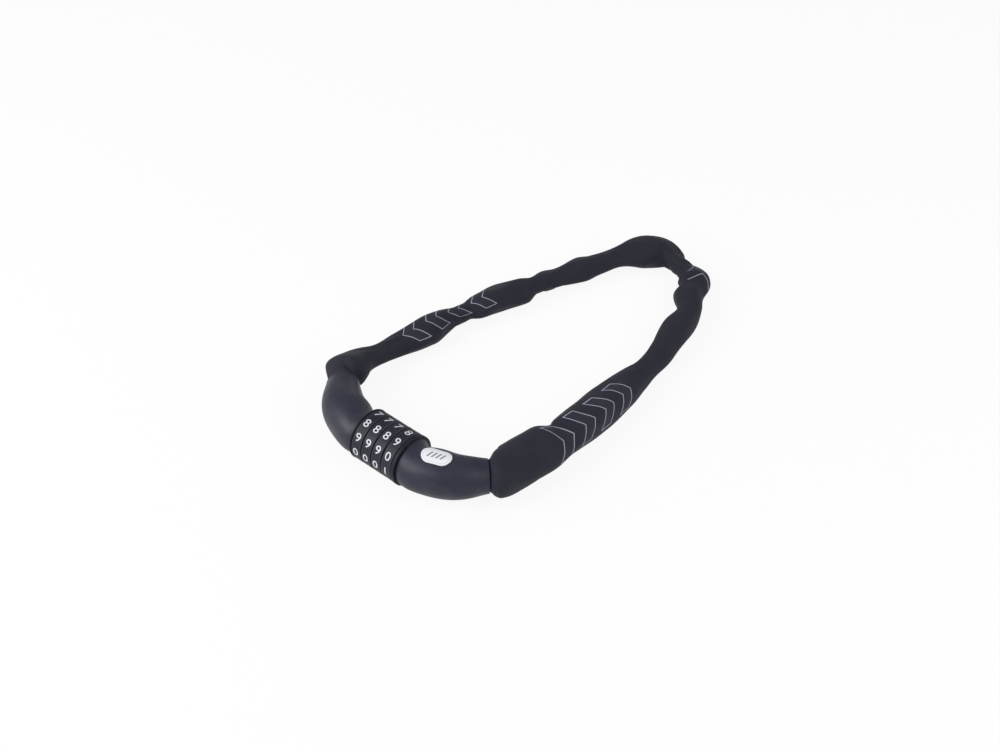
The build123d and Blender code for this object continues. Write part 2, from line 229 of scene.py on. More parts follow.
# %% Say how far the sleeve reaches
sleeve_reach = [
    (0, 8.1, 8.1), (8.5, 8.1, 8.1), (10.5, 8, 10.5), (12, 11, 12), (15, 13.5, 14), (24, 14.5, 13),
    (40, 12.5, 15), (48, 12, 14.5), (56, 7.5, 13), (62, 10.5, 12), (72, 12, 11), (96, 12.5, 10),
    (112, 11, 10), (124, 9.5, 8), (136, 6.5, 7), (154, 7, 8), (176, 9.5, 9), (192, 6, 8.5),
    (208, 9.5, 8), (216, 7, 9), (224, 9, 10), (232, 4.5, 8), (240, 6.5, 4.5), (248, 4.5, 8.5),
    (256, 9.5, 11), (264, 12.5, 10), (272, 13, 8), (288, 7.5, 5), (303, 7.5, 5.5), (312, 7.5, 8.5),
    (328, 5, 7), (336, 4.5, 8.5), (344, 5, 6), (353, 10, 6), (368, 7.5, 10), (384, 8, 7.5),
    (394, 4.5, 5), (408, 7, 8.5), (420, 10.5, 8.5), (440, 7.5, 6.5), (456, 7, 5.5), (464, 6.5, 9),
    (472, 9, 11), (480, 9.5, 14), (485, 7, 10.5), (490, 8.1, 8.1), (500, 8.1, 8.1),
]
ROUND_SHARE, SLACK_SHARE = 0.5, 0.43
sleeve_widths = [left + right for place, left, right in sleeve_reach]
print("sleeve is", min(sleeve_widths), "to", max(sleeve_widths), "mm wide")

# %% [markdown]
# The chain inside is the CAD model's own. A CAD node can't bend, so a copy of its mesh stands for
# it, and each link is moved with the sleeve's line. The links are told apart by walking along their
# edges. To know later how far they reach, points are taken all along their long edges, on a copy
# that is thrown away.

# %% Copy the chain
LONG_EDGE, POINTS_BETWEEN = 3 * MM, 9


def separate_links(form):
    """The bmesh's vertices, in one list for each link."""
    links, seen = [], set()
    for start in form.verts:
        if start in seen:
            continue
        seen.add(start)
        link, edge = [start], [start]
        while edge:
            vert = edge.pop()
            for neighbour in (other.other_vert(vert) for other in vert.link_edges):
                if neighbour not in seen:
                    seen.add(neighbour)
                    link.append(neighbour)
                    edge.append(neighbour)
        links.append(link)
    return links


chain_form = bmesh.new()
chain_form.from_mesh(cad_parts["chain_links"].data)
bmesh.ops.remove_doubles(chain_form, verts=chain_form.verts, dist=0.000001)
links = separate_links(chain_form)
for link in links:
    middle = sum((vert.co for vert in link), Vector()) / len(link)
    nearest = min(range(len(cad_line)), key=lambda number: (cad_line[number] - middle).length)
    bmesh.ops.translate(chain_form, verts=link, vec=sleeve_line[nearest] - cad_line[nearest])
probe = chain_form.copy()
long_edges = [edge for edge in probe.edges if edge.calc_length() > LONG_EDGE]
bmesh.ops.subdivide_edges(probe, edges=long_edges, cuts=POINTS_BETWEEN)
link_points = [vert.co.copy() for vert in probe.verts]
probe.free()
chain = piece_from("chain_in_sleeve", chain_form, smooth=False)
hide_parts("chain_links")
print(len(links), "links", len(link_points), "points measured")

# %% [markdown]
# The cloth lies on the links where it is slack. So it is measured how far they reach from the
# line, in sixteen directions round it, station by station. The cloth is then never drawn tighter
# than that. Next to the bolt's arm the stations stay square to its mouth for a little way, because
# the cloth is gathered there in rings.

# %% Measure the chain under the cloth
DIRECTIONS = 16
CLOTH_OVER = 0.7 * MM
BESIDE_SHARE = 0.93
SQUARE_TO, TURNED_BY = 10, 30
mouth_way = (Vector(cad_route[1]) - Vector(cad_route[0])).normalized()


def line_frame(number):
    """The way to the line's right and the way up, square to it, at one of its points."""
    before = sleeve_line[max(number - 1, 0)]
    after = sleeve_line[min(number + 1, len(sleeve_line) - 1)]
    along = (after - before).normalized()
    turned = smooth_step(SQUARE_TO, TURNED_BY, reached[number] / MM)
    along = (mouth_way * (1 - turned) + along * turned).normalized()
    right = along.cross(Vector((0, 0, 1))).normalized()
    return right, right.cross(along)


def chain_reach(stations):
    """For each station, how far the links reach in each direction round the line."""
    finder = KDTree(len(sleeve_line))
    for number, point in enumerate(sleeve_line):
        finder.insert(point, number)
    finder.balance()
    reach = [[0.0] * DIRECTIONS for point in sleeve_line]
    for spot in link_points:
        point, number, _ = finder.find(spot)
        right, up = stations[number]
        off = spot - point
        sideways, upward = off.dot(right), off.dot(up)
        out = sqrt(sideways * sideways + upward * upward) + CLOTH_OVER
        slice_number = round(atan2(sideways, upward) / (2 * pi) * DIRECTIONS)
        for near in range(max(number - 1, 0), min(number + 2, len(sleeve_line))):
            for beside in (-1, 0, 1):
                place = (slice_number + beside) % DIRECTIONS
                felt = out if beside == 0 else out * BESIDE_SHARE
                reach[near][place] = max(reach[near][place], felt)
    return reach


stations = [line_frame(number) for number in range(len(sleeve_line))]
chain_out = chain_reach(stations)
print("links reach", round(max(max(row) for row in chain_out) / MM, 2), "mm from the line")

# %% [markdown]
# The tube starts as a flat grid, one side of it along the line and the other round the tube. Each
# point of the grid is moved to its place round the line, with the folds added to its distance
# from it, and the seam is merged. The grid's own places become the UV map, so the weave and the
# print follow the cloth. The folds are long soft waves that run mostly along the tube, in two
# sizes, and they die out towards the mouths. One crease lies at the barrel's mouth, where the cloth
# is folded over. Near the floor the cloth is pressed flat, so that it doesn't go through. Places
# along the sleeve and the depths of its folds are in millimetres, as in its table.

# %% Roll the sleeve
ROUND = 64
CLOTH_RADIUS = 9.5 * MM
FREE_FROM, FREE_BY, HELD_FROM, HELD_BY = 11, 22, 482, 492
CREASE_AT, CREASE_SLANT, CREASE_DEPTH, CREASE_REACH = 482.5, 4.5, 1.4, 2.6
LOWEST, PRESSED_FROM, PRESSED_DEPTH = 0.4 * MM, 2.4 * MM, 4 * MM


def wave(turn, place, round_size, along_size, shift=0):
    """A soft noise round and along the tube, which has no seam where the turn starts again."""
    spot = Vector((cos(turn) * round_size, sin(turn) * round_size, place * along_size + shift))
    return noise.noise(spot, noise_basis="PERLIN_ORIGINAL")


def sleeve_fold(place, turn):
    """How far the cloth stands in or out of its round, in mm, by distance in mm and angle."""
    free = smooth_step(FREE_FROM, FREE_BY, place) * (1 - smooth_step(HELD_FROM, HELD_BY, place))
    folds = wave(turn + 0.012 * place, place, 1.1, 0.028)
    folds += 0.5 * wave(turn - 0.02 * place, place, 2.1, 0.05, shift=7)
    crease_middle = CREASE_AT - CREASE_SLANT * (turn - 0.2)
    crease_side = 1 - smooth_step(0.15, 0.75, abs(turn + 0.3))
    crease = crease_side * (1 - smooth_step(0, CREASE_REACH, abs(place - crease_middle)))
    return folds * free - CREASE_DEPTH * crease


def link_under(number, sideways, upward):
    """How far the links reach from the line at a station, in one direction."""
    bearing = atan2(sideways, upward) / (2 * pi) * DIRECTIONS
    first = int(bearing // 1)
    share = bearing - first
    row = chain_out[number]
    return row[first % DIRECTIONS] * (1 - share) + row[(first + 1) % DIRECTIONS] * share


def cloth_place(number, turn):
    """Where the cloth lies, at one station of the line and one angle round it."""
    right, up = stations[number]
    place = reached[number] / MM
    left_out, right_out = along_table(sleeve_reach, place)
    near_end = min(place, sleeve_length / MM - place)
    up_share = ROUND_SHARE + (SLACK_SHARE - ROUND_SHARE) * smooth_step(9, 16, near_end)
    up_out = (left_out + right_out) * up_share
    side_out = (left_out + right_out) / 2 + (right_out - left_out) / 2 * sin(turn)
    fold = sleeve_fold(place, turn)
    sideways = sin(turn) * (side_out + fold) * MM
    upward = cos(turn) * (up_out + fold) * MM
    out = sqrt(sideways * sideways + upward * upward)
    wanted = max(out, link_under(number, sideways, upward))
    spot = sleeve_line[number] + (right * sideways + up * upward) * (wanted / out)
    if spot.z < PRESSED_FROM:
        pressed = (spot.z + PRESSED_DEPTH) / (PRESSED_FROM + PRESSED_DEPTH)
        spot.z = LOWEST + (PRESSED_FROM - LOWEST) * min(max(pressed, 0.0), 1.0) ** 1.5
    return spot


def roll_sleeve():
    """The tube's bmesh, with its UV map in metres along the sleeve and round it."""
    form = bmesh.new()
    bmesh.ops.create_grid(form, x_segments=len(sleeve_line) - 1, y_segments=ROUND, size=1)
    uv = form.loops.layers.uv.new("cloth")
    half_round = pi * CLOTH_RADIUS
    for face in form.faces:
        for loop in face.loops:
            number = round((loop.vert.co.x + 1) / 2 * (len(sleeve_line) - 1))
            loop[uv].uv = (reached[number], loop.vert.co.y * half_round)
    for vert in form.verts:
        number = round((vert.co.x + 1) / 2 * (len(sleeve_line) - 1))
        vert.co = cloth_place(number, vert.co.y * pi)
    bmesh.ops.remove_doubles(form, verts=form.verts, dist=0.00001)
    bmesh.ops.recalc_face_normals(form, faces=form.faces)
    return form


sleeve = piece_from("sleeve_cloth", roll_sleeve())
low = min(vertex.co.z for vertex in sleeve.data.vertices)
print("sleeve's lowest point", round(low / MM, 2), "mm")

# %% [markdown]
# The cloth has a thickness of its own, about half a millimetre, which shows at the hems inside the
# arms' mouths. Solidify gives it that wall on the inner side.

# %% Give the cloth its thickness
wall = sleeve.modifiers.new("cloth thickness", "SOLIDIFY")
wall.thickness = 0.5 * MM
wall.offset = -1

# %% [markdown]
# When the bolt is drawn, the sleeve's one end goes with it and its other end stays. Here the sleeve
# and the chain have their places baked into their meshes, and the CAD model's own sleeve is hidden.

# %% Bake the sleeve and the chain in place
for piece in (sleeve, chain):
    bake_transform(piece)
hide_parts("sleeve")

# %% [markdown]
# Finishes are made of shader nodes. One helper adds a node, with its settings and with what goes
# into its sockets, either a plain value or another node's output. Effects that several finishes
# share are node groups: a fine moulded or cast grain, a woven cloth, and dust and hand marks that
# change the colour a little from place to place.

# %% Helpers for finishes
def add_node(tree, kind, inputs=None, **settings):
    """A new node with its settings, and its sockets filled or linked."""
    node = tree.nodes.new(kind)
    for name, value in settings.items():
        setattr(node, name, value)
    for socket, value in (inputs or {}).items():
        if isinstance(value, bpy.types.NodeSocket):
            tree.links.new(value, node.inputs[socket])
        else:
            node.inputs[socket].default_value = value
    return node


def calculate(tree, operation, first, second=0.0, clamp=False):
    """The output of one Math node."""
    node = add_node(tree, "ShaderNodeMath", {0: first, 1: second}, operation=operation)
    node.use_clamp = clamp
    return node.outputs[0]


def mix_colours(tree, share, first, second):
    """The output of one Mix node for colours."""
    node = add_node(tree, "ShaderNodeMix", data_type="RGBA")
    for socket, value in (("Factor_Float", share), ("A_Color", first), ("B_Color", second)):
        target = next(s for s in node.inputs if s.identifier == socket)
        if isinstance(value, bpy.types.NodeSocket):
            tree.links.new(value, target)
        else:
            target.default_value = value
    return next(s for s in node.outputs if s.identifier == "Result_Color")


def spread_over(tree, value, low, high, first=0.0, last=1.0):
    """A mask that goes from its first value to its last as a value goes from low to high."""
    return add_node(
        tree, "ShaderNodeMapRange",
        {"Value": value, "From Min": low, "From Max": high, "To Min": first, "To Max": last},
    ).outputs["Result"]


def length_of(tree, first, second):
    """How far two steps reach together, when one is square to the other."""
    squares = [calculate(tree, "MULTIPLY", side, side) for side in (first, second)]
    return calculate(tree, "SQRT", calculate(tree, "ADD", *squares))


def near_zero(tree, value, reach):
    """1 where a value lies within a reach of zero, and 0 elsewhere."""
    return calculate(tree, "LESS_THAN", calculate(tree, "ABSOLUTE", value), reach)


def new_group(name, inputs, outputs):
    """An empty shader node group, with its two ends."""
    group = bpy.data.node_groups.new(name, "ShaderNodeTree")
    for label, kind, value in inputs:
        socket = group.interface.new_socket(label, in_out="INPUT", socket_type=kind)
        if value is not None:
            socket.default_value = value
    for label, kind in outputs:
        group.interface.new_socket(label, in_out="OUTPUT", socket_type=kind)
    return group, group.nodes.new("NodeGroupInput"), group.nodes.new("NodeGroupOutput")


FLOAT, VECTOR, COLOUR = "NodeSocketFloat", "NodeSocketVector", "NodeSocketColor"

# %% [markdown]
# Moulded and cast surfaces have a fine stipple, which a Voronoi pattern gives, over slow waves of
# noise. The stipple and the waves together make a height, and the waves alone make a tone.

# %% The grain group
grain_group, grain_in, grain_out = new_group(
    "moulded grain",
    [("Place", VECTOR, None), ("Size", FLOAT, 1.0), ("Coarse", FLOAT, 0.3)],
    [("Height", FLOAT), ("Tone", FLOAT)],
)
per_size = calculate(grain_group, "DIVIDE", 1.0, grain_in.outputs["Size"])
fine = add_node(
    grain_group, "ShaderNodeTexVoronoi", {"Vector": grain_in.outputs["Place"], "Scale": per_size}
)
slower = calculate(grain_group, "MULTIPLY", per_size, 0.06)
broad = add_node(
    grain_group, "ShaderNodeTexNoise",
    {"Vector": grain_in.outputs["Place"], "Scale": slower, "Detail": 3.0, "Roughness": 0.55},
)
stipple = calculate(grain_group, "SUBTRACT", 1.0, fine.outputs["Distance"])
waviness = calculate(grain_group, "MULTIPLY", broad.outputs["Fac"], grain_in.outputs["Coarse"])
height = calculate(grain_group, "ADD", stipple, waviness)
grain_group.links.new(height, grain_out.inputs["Height"])
grain_group.links.new(broad.outputs["Fac"], grain_out.inputs["Tone"])
print("group", grain_group.name, len(grain_group.nodes), "nodes")

# %% [markdown]
# In a plain weave each thread goes over one and under the next. A sine hump runs across each
# thread, and a chequered pattern says which of the two ways lies on top. The Gap mask is high
# between the threads, where the cloth's colour is darkened as painted shade.

# %% The weave group
weave_group, weave_in, weave_out = new_group(
    "woven cloth",
    [("Along", FLOAT, 0.0), ("Across", FLOAT, 0.0), ("Pitch", FLOAT, 0.0007)],
    [("Height", FLOAT), ("Gap", FLOAT)],
)
warp = calculate(weave_group, "DIVIDE", weave_in.outputs["Along"], weave_in.outputs["Pitch"])
weft = calculate(weave_group, "DIVIDE", weave_in.outputs["Across"], weave_in.outputs["Pitch"])
warp_turn = calculate(weave_group, "MULTIPLY", warp, pi)
weft_turn = calculate(weave_group, "MULTIPLY", weft, pi)
warp_hump = calculate(weave_group, "ABSOLUTE", calculate(weave_group, "SINE", warp_turn))
weft_hump = calculate(weave_group, "ABSOLUTE", calculate(weave_group, "SINE", weft_turn))
cell = calculate(
    weave_group, "ADD", calculate(weave_group, "FLOOR", warp), calculate(weave_group, "FLOOR", weft)
)
over = calculate(weave_group, "FLOORED_MODULO", cell, 2.0)
under = calculate(weave_group, "SUBTRACT", 1.0, over)
thread = calculate(
    weave_group, "ADD", calculate(weave_group, "MULTIPLY", warp_hump, over),
    calculate(weave_group, "MULTIPLY", weft_hump, under),
)
gap = calculate(weave_group, "MULTIPLY", warp_hump, weft_hump)
weave_group.links.new(thread, weave_out.inputs["Height"])
weave_group.links.new(calculate(weave_group, "SUBTRACT", 1.0, gap), weave_out.inputs["Gap"])
print("group", weave_group.name, len(weave_group.nodes), "nodes")

# %% [markdown]
# Handling leaves soft pale clouds, and dust leaves specks. Both are noise cut off at a level, and
# each finish says how much of them it takes.

# %% The dust group
dust_group, dust_in, dust_out = new_group(
    "dust and hand marks",
    [("Place", VECTOR, None), ("Colour", COLOUR, (0.05, 0.05, 0.05, 1)), ("Amount", FLOAT, 0.2)],
    [("Colour", COLOUR), ("Marks", FLOAT)],
)
clouds = add_node(
    dust_group, "ShaderNodeTexNoise",
    {"Vector": dust_in.outputs["Place"], "Scale": 70.0, "Detail": 5.0, "Roughness": 0.62},
)
specks = add_node(
    dust_group, "ShaderNodeTexNoise",
    {"Vector": dust_in.outputs["Place"], "Scale": 900.0, "Detail": 2.0, "Roughness": 0.5},
)
cloud_mask = spread_over(dust_group, clouds.outputs["Fac"], 0.42, 0.72)
speck_mask = spread_over(dust_group, specks.outputs["Fac"], 0.62, 0.78)
faint_specks = calculate(dust_group, "MULTIPLY", speck_mask, 0.35)
marks = calculate(dust_group, "ADD", cloud_mask, faint_specks, clamp=True)
share = calculate(dust_group, "MULTIPLY", marks, dust_in.outputs["Amount"])
dusty = mix_colours(dust_group, share, dust_in.outputs["Colour"], (0.22, 0.21, 0.20, 1))
dust_group.links.new(dusty, dust_out.inputs["Colour"])
dust_group.links.new(marks, dust_out.inputs["Marks"])
print("group", dust_group.name, len(dust_group.nodes), "nodes")

# %% [markdown]
# Every finish starts in the same way: a material with its Principled shader, whose plain numbers
# are set by their names, and the Object coordinates that its patterns are laid in. Three more
# helpers place a shared group, let a height stand out, and let a mask vary the roughness.

# %% Start a finish
def start_finish(name, **fixed):
    """A material with a Principled shader, its plain numbers set, and its Object coordinates."""
    material = bpy.data.materials.new(name)
    material.use_nodes = True
    tree = material.node_tree
    shader = tree.nodes["Principled BSDF"]
    for socket, value in fixed.items():
        shader.inputs[socket.replace("_", " ")].default_value = value
    place = add_node(tree, "ShaderNodeTexCoord").outputs["Object"]
    print("finish", name)
    return material, tree, shader, place


def use_group(tree, group, inputs):
    """A node that uses one of the shared groups."""
    return add_node(tree, "ShaderNodeGroup", inputs, node_tree=group)


def bump_shader(tree, shader, height, strength, distance):
    """Let a height stand out on the surface."""
    bump = add_node(
        tree, "ShaderNodeBump", {"Height": height, "Strength": strength, "Distance": distance}
    )
    tree.links.new(bump.outputs["Normal"], shader.inputs["Normal"])


def vary_roughness(tree, shader, mask, low, high):
    """Let the roughness go from low to high as the mask goes from 0 to 1."""
    tree.links.new(spread_over(tree, mask, 0.0, 1.0, low, high), shader.inputs["Roughness"])


# %% [markdown]
# The arms have a soft cover, moulded in blue-black rubber. It is matt, so a light is seen in it
# only as a broad pale patch. A fine stipple breaks that patch up from near by, and handling leaves
# it a little paler and smoother in places.

# %% Soft rubber
def make_rubber():
    """The arms' covers."""
    material, tree, shader, place = start_finish("soft rubber cover", Specular_IOR_Level=0.33)
    grain = use_group(tree, grain_group, {"Place": place, "Size": 0.00035, "Coarse": 0.8})
    dark, pale = (0.0125, 0.0138, 0.028, 1), (0.019, 0.021, 0.039, 1)
    toned = mix_colours(tree, grain.outputs["Tone"], dark, pale)
    dust = use_group(tree, dust_group, {"Place": place, "Colour": toned, "Amount": 0.07})
    tree.links.new(dust.outputs["Colour"], shader.inputs["Base Color"])
    vary_roughness(tree, shader, dust.outputs["Marks"], 0.48, 0.36)
    bump_shader(tree, shader, grain.outputs["Height"], 0.35, 0.00004)
    return material


rubber = make_rubber()

# %% [markdown]
# The dials and the collars are moulded in a harder black plastic. The edges of the dials are
# rubbed a little paler by fingers, and shade is painted into the grooves between them, where the
# colour goes almost black below the dials' tops. How near a point is to the middle of its dial is
# known from its place along the axis, and how deep it lies from its distance to the axis.

# %% Moulded black plastic
def make_dial_plastic():
    """The dials: shade painted into the grooves between them, and edges rubbed pale."""
    material, tree, shader, place = start_finish("dial plastic", Specular_IOR_Level=0.28)
    split = add_node(tree, "ShaderNodeSeparateXYZ", {"Vector": place})
    pitch = dial_middles[1] - dial_middles[0]
    from_first = calculate(tree, "SUBTRACT", split.outputs["X"], dial_middles[0])
    steps = calculate(tree, "DIVIDE", from_first, pitch)
    past_middle = calculate(tree, "SUBTRACT", steps, calculate(tree, "ROUND", steps))
    off_middle = calculate(tree, "ABSOLUTE", past_middle)
    out_y = calculate(tree, "SUBTRACT", split.outputs["Y"], axis_y)
    out_z = calculate(tree, "SUBTRACT", split.outputs["Z"], axis_z)
    out = length_of(tree, out_y, out_z)
    near_edge = spread_over(tree, off_middle, 0.33, 0.42)
    on_top = spread_over(tree, out, dial_radius - 0.4 * MM, dial_radius - 0.04 * MM)
    edge = calculate(tree, "MULTIPLY", near_edge, on_top)
    grain = use_group(tree, grain_group, {"Place": place, "Size": 0.0005, "Coarse": 0.5})
    patchy = calculate(tree, "MULTIPLY", edge, grain.outputs["Tone"])
    # Painted shade: below the dials' tops, in the grooves between them, the colour goes almost black.
    groove_shade = mix_colours(tree, on_top, (0.0015, 0.0015, 0.003, 1), (0.0105, 0.011, 0.021, 1))
    worn_over_groove_shade = mix_colours(tree, patchy, groove_shade, (0.055, 0.058, 0.085, 1))
    dust = use_group(tree, dust_group, {"Place": place, "Colour": worn_over_groove_shade, "Amount": 0.06})
    tree.links.new(dust.outputs["Colour"], shader.inputs["Base Color"])
    vary_roughness(tree, shader, dust.outputs["Marks"], 0.50, 0.62)
    bump_shader(tree, shader, grain.outputs["Height"], 0.25, 0.00003)
    return material


def make_collar_plastic():
    """The two collars beside the dials."""
    material, tree, shader, place = start_finish("collar plastic", Specular_IOR_Level=0.25)
    grain = use_group(tree, grain_group, {"Place": place, "Size": 0.0005, "Coarse": 0.5})
    black = (0.006, 0.0065, 0.013, 1)
    dust = use_group(tree, dust_group, {"Place": place, "Colour": black, "Amount": 0.05})
    tree.links.new(dust.outputs["Colour"], shader.inputs["Base Color"])
    vary_roughness(tree, shader, grain.outputs["Tone"], 0.52, 0.64)
    bump_shader(tree, shader, grain.outputs["Height"], 0.25, 0.00003)
    return material


dial_plastic, collar_plastic = make_dial_plastic(), make_collar_plastic()

# %% [markdown]
# Inside there are die-cast cores, brass code rings, zinc-plated pins, a spring strip and the
# hardened chain. They show only when the bolt is drawn, and they are still finished as metals: a
# grain or a brushed streak in the roughness, and a little tarnish in the colour.

# %% Metals
def make_metal(name, colour, tarnish, grain_size, roughness, streak=1.0):
    """A metal, with a grain that a streak under or over 1 stretches along or across the axis."""
    material, tree, shader, place = start_finish(name, Metallic=1.0)
    stretched = add_node(tree, "ShaderNodeMapping", {"Vector": place, "Scale": (streak, 1.0, 1.0)})
    grain = use_group(
        tree, grain_group, {"Place": stretched.outputs["Vector"], "Size": grain_size, "Coarse": 0.6}
    )
    toned = mix_colours(tree, grain.outputs["Tone"], (*tarnish, 1), (*colour, 1))
    tree.links.new(toned, shader.inputs["Base Color"])
    vary_roughness(tree, shader, grain.outputs["Tone"], roughness + 0.12, roughness - 0.08)
    bump_shader(tree, shader, grain.outputs["Height"], 0.3, 0.00004)
    return material


cast_metal = make_metal("die-cast metal", (0.36, 0.36, 0.37), (0.22, 0.22, 0.23), 0.0006, 0.5)
brass = make_metal("turned brass", (0.76, 0.58, 0.27), (0.52, 0.38, 0.17), 0.0004, 0.3, streak=12.0)
plated = make_metal("zinc plating", (0.62, 0.62, 0.64), (0.42, 0.42, 0.40), 0.0005, 0.3)
spring_steel = make_metal("spring steel", (0.46, 0.46, 0.48), (0.30, 0.29, 0.30), 0.0004, 0.28, streak=0.2)
chain_steel = make_metal("chain steel", (0.48, 0.48, 0.50), (0.26, 0.25, 0.25), 0.0006, 0.38)

# %% [markdown]
# The badge is a small silver plate let into the bolt's arm. It has a satin face with a fine brushed
# line along it, and in place of any name only a thin rim and four slanted bars.

# %% Silver badge
BADGE_TURN, BADGE_LONG, BADGE_WIDE = radians(22), 16.6 * MM, 10.3 * MM
RIM_IN, RIM_HALF = 0.9 * MM, 0.16 * MM
BAR_STEP, BAR_HALF, BAR_SLANT = 2.4 * MM, 0.55 * MM, 0.5
FIELD_HIGH, FIELD_LONG = 1.9 * MM, 4.7 * MM


def badge_marks(tree, split):
    """How strongly the rim and the bars are drawn, by the place along the badge and across it."""
    from_middle = calculate(tree, "ABSOLUTE", split["X"])
    past = calculate(tree, "SUBTRACT", from_middle, (BADGE_LONG - BADGE_WIDE) / 2)
    out = length_of(tree, calculate(tree, "MAXIMUM", past, 0.0), split["Y"])
    off_rim = calculate(tree, "SUBTRACT", BADGE_WIDE / 2 - RIM_IN, out)
    rim = near_zero(tree, off_rim, RIM_HALF)

    leaning = calculate(tree, "MULTIPLY", split["Y"], BAR_SLANT)
    slanted = calculate(tree, "SUBTRACT", split["X"], leaning)
    step = calculate(tree, "FLOORED_MODULO", slanted, BAR_STEP)
    on_bar = near_zero(tree, calculate(tree, "SUBTRACT", step, BAR_STEP / 2), BAR_HALF)
    within_height = near_zero(tree, split["Y"], FIELD_HIGH)
    within_length = near_zero(tree, slanted, FIELD_LONG)
    in_field = calculate(tree, "MULTIPLY", within_height, within_length)
    bars = calculate(tree, "MULTIPLY", on_bar, in_field)
    faint_rim = calculate(tree, "MULTIPLY", rim, 0.3)
    return calculate(tree, "MAXIMUM", faint_rim, calculate(tree, "MULTIPLY", bars, 0.8))


def make_badge():
    """The badge, drawn on a place that is turned with it and measured from its middle."""
    material, tree, shader, place = start_finish(
        "satin silver", Metallic=0.25, Specular_IOR_Level=0.45
    )
    low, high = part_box("badge")
    middle = (low + high) / 2
    centred = add_node(
        tree, "ShaderNodeVectorMath", {0: place, 1: tuple(middle)}, operation="SUBTRACT"
    ).outputs["Vector"]
    turned = add_node(
        tree, "ShaderNodeMapping", {"Vector": centred, "Rotation": (0, 0, -BADGE_TURN)}
    ).outputs["Vector"]
    split = add_node(tree, "ShaderNodeSeparateXYZ", {"Vector": turned}).outputs
    brushed = add_node(
        tree, "ShaderNodeMapping", {"Vector": turned, "Scale": (0.12, 1, 1)}
    ).outputs["Vector"]
    grain = use_group(tree, grain_group, {"Place": brushed, "Size": 0.00025, "Coarse": 0.4})
    dull, bright = (0.84, 0.84, 0.87, 1), (0.96, 0.96, 0.98, 1)
    toned = mix_colours(tree, grain.outputs["Tone"], dull, bright)

    marked = mix_colours(tree, badge_marks(tree, split), toned, (0.16, 0.16, 0.18, 1))
    tree.links.new(marked, shader.inputs["Base Color"])
    vary_roughness(tree, shader, grain.outputs["Tone"], 0.45, 0.35)
    bump_shader(tree, shader, grain.outputs["Height"], 0.2, 0.00002)
    return material


badge_silver = make_badge()

# %% [markdown]
# The sleeve's cloth is a plain weave of dark nylon. Its threads lie a little over half a millimetre
# apart and catch the light on their crowns, and between them shade is painted into the colour. The
# weave and the print are drawn by the UV map, which is in metres along and round the sleeve. The
# print is a row of chevrons in pale outline, faintly hatched inside, in three places: near each end,
# and a small one at the far corner. Each is said by its middle along the sleeve, half its length,
# and its height on the cloth. Where the sleeve goes into a mouth, fine rings stand up in its cloth.

# %% The print group
CHEVRON_STEP, CHEVRON_BAND, CHEVRON_HALF = 16.5 * MM, 7.5 * MM, 9.5 * MM
CHEVRON_SLANT = 0.7
PRINT_LINE = 0.27 * MM

print_group, print_in, print_out = new_group(
    "outlined chevrons",
    [("Along", FLOAT, 0.0), ("Across", FLOAT, 0.0), ("Middle", FLOAT, 0.0),
     ("Half length", FLOAT, 0.03), ("Height on cloth", FLOAT, 0.0)],
    [("Mask", FLOAT), ("Fill", FLOAT)],
)
along = calculate(print_group, "SUBTRACT", print_in.outputs["Along"], print_in.outputs["Middle"])
across = calculate(
    print_group, "SUBTRACT", print_in.outputs["Across"], print_in.outputs["Height on cloth"]
)
off = calculate(print_group, "ABSOLUTE", across)
slanted = calculate(
    print_group, "ADD", along, calculate(print_group, "MULTIPLY", off, CHEVRON_SLANT)
)
step = calculate(print_group, "FLOORED_MODULO", slanted, CHEVRON_STEP)
off_band = calculate(
    print_group, "ABSOLUTE", calculate(print_group, "SUBTRACT", step, CHEVRON_STEP / 2)
)
beyond = calculate(print_group, "SUBTRACT", off_band, CHEVRON_BAND / 2)
square_off = calculate(print_group, "DIVIDE", beyond, sqrt(1 + CHEVRON_SLANT * CHEVRON_SLANT))
edge_off = calculate(print_group, "SUBTRACT", off, CHEVRON_HALF)
outside_by = calculate(print_group, "MAXIMUM", square_off, edge_off)
kept = near_zero(print_group, slanted, print_in.outputs["Half length"])
outline = near_zero(print_group, outside_by, PRINT_LINE)
mask = calculate(print_group, "MULTIPLY", outline, kept)
inside = calculate(print_group, "LESS_THAN", outside_by, 0.0)
filled = calculate(print_group, "MULTIPLY", inside, kept)
print_group.links.new(mask, print_out.inputs["Mask"])
print_group.links.new(filled, print_out.inputs["Fill"])
print("group", print_group.name, len(print_group.nodes), "nodes")

# %% Woven nylon with its print
PRINTS = [(0.0825, 0.031, 0.0065), (0.409, 0.031, -0.001), (0.228, 0.005, 0.006)]
PRINT_COLOUR = (0.36, 0.36, 0.45, 1)
THREAD_PITCH, HATCH_PITCH, RING_PITCH = 0.6 * MM, 0.7 * MM, 1.4 * MM
GATHERED, FADED_OVER = 11.8 * MM, 4 * MM


def ripple(tree, value, pitch):
    """A sine wave that comes again after each pitch."""
    return calculate(tree, "SINE", calculate(tree, "MULTIPLY", value, 2 * pi / pitch))


def print_on(tree, split, under):
    """The cloth's colour with the print over it, by the place along the sleeve and round it."""
    printed, filled = 0.0, 0.0
    for middle, half_length, height in PRINTS:
        motif = use_group(
            tree, print_group,
            {"Along": split["X"], "Across": split["Y"], "Middle": middle,
             "Half length": half_length, "Height on cloth": height},
        )
        printed = calculate(tree, "MAXIMUM", motif.outputs["Mask"], printed)
        filled = calculate(tree, "MAXIMUM", motif.outputs["Fill"], filled)
    hatch = spread_over(tree, ripple(tree, split["Y"], HATCH_PITCH), 0.2, 0.7)
    faint = calculate(tree, "MULTIPLY", calculate(tree, "MULTIPLY", filled, hatch), 0.05)
    shaded = mix_colours(tree, faint, under, PRINT_COLOUR)
    worn_print = calculate(tree, "MULTIPLY", printed, 0.85)
    return mix_colours(tree, worn_print, shaded, PRINT_COLOUR)


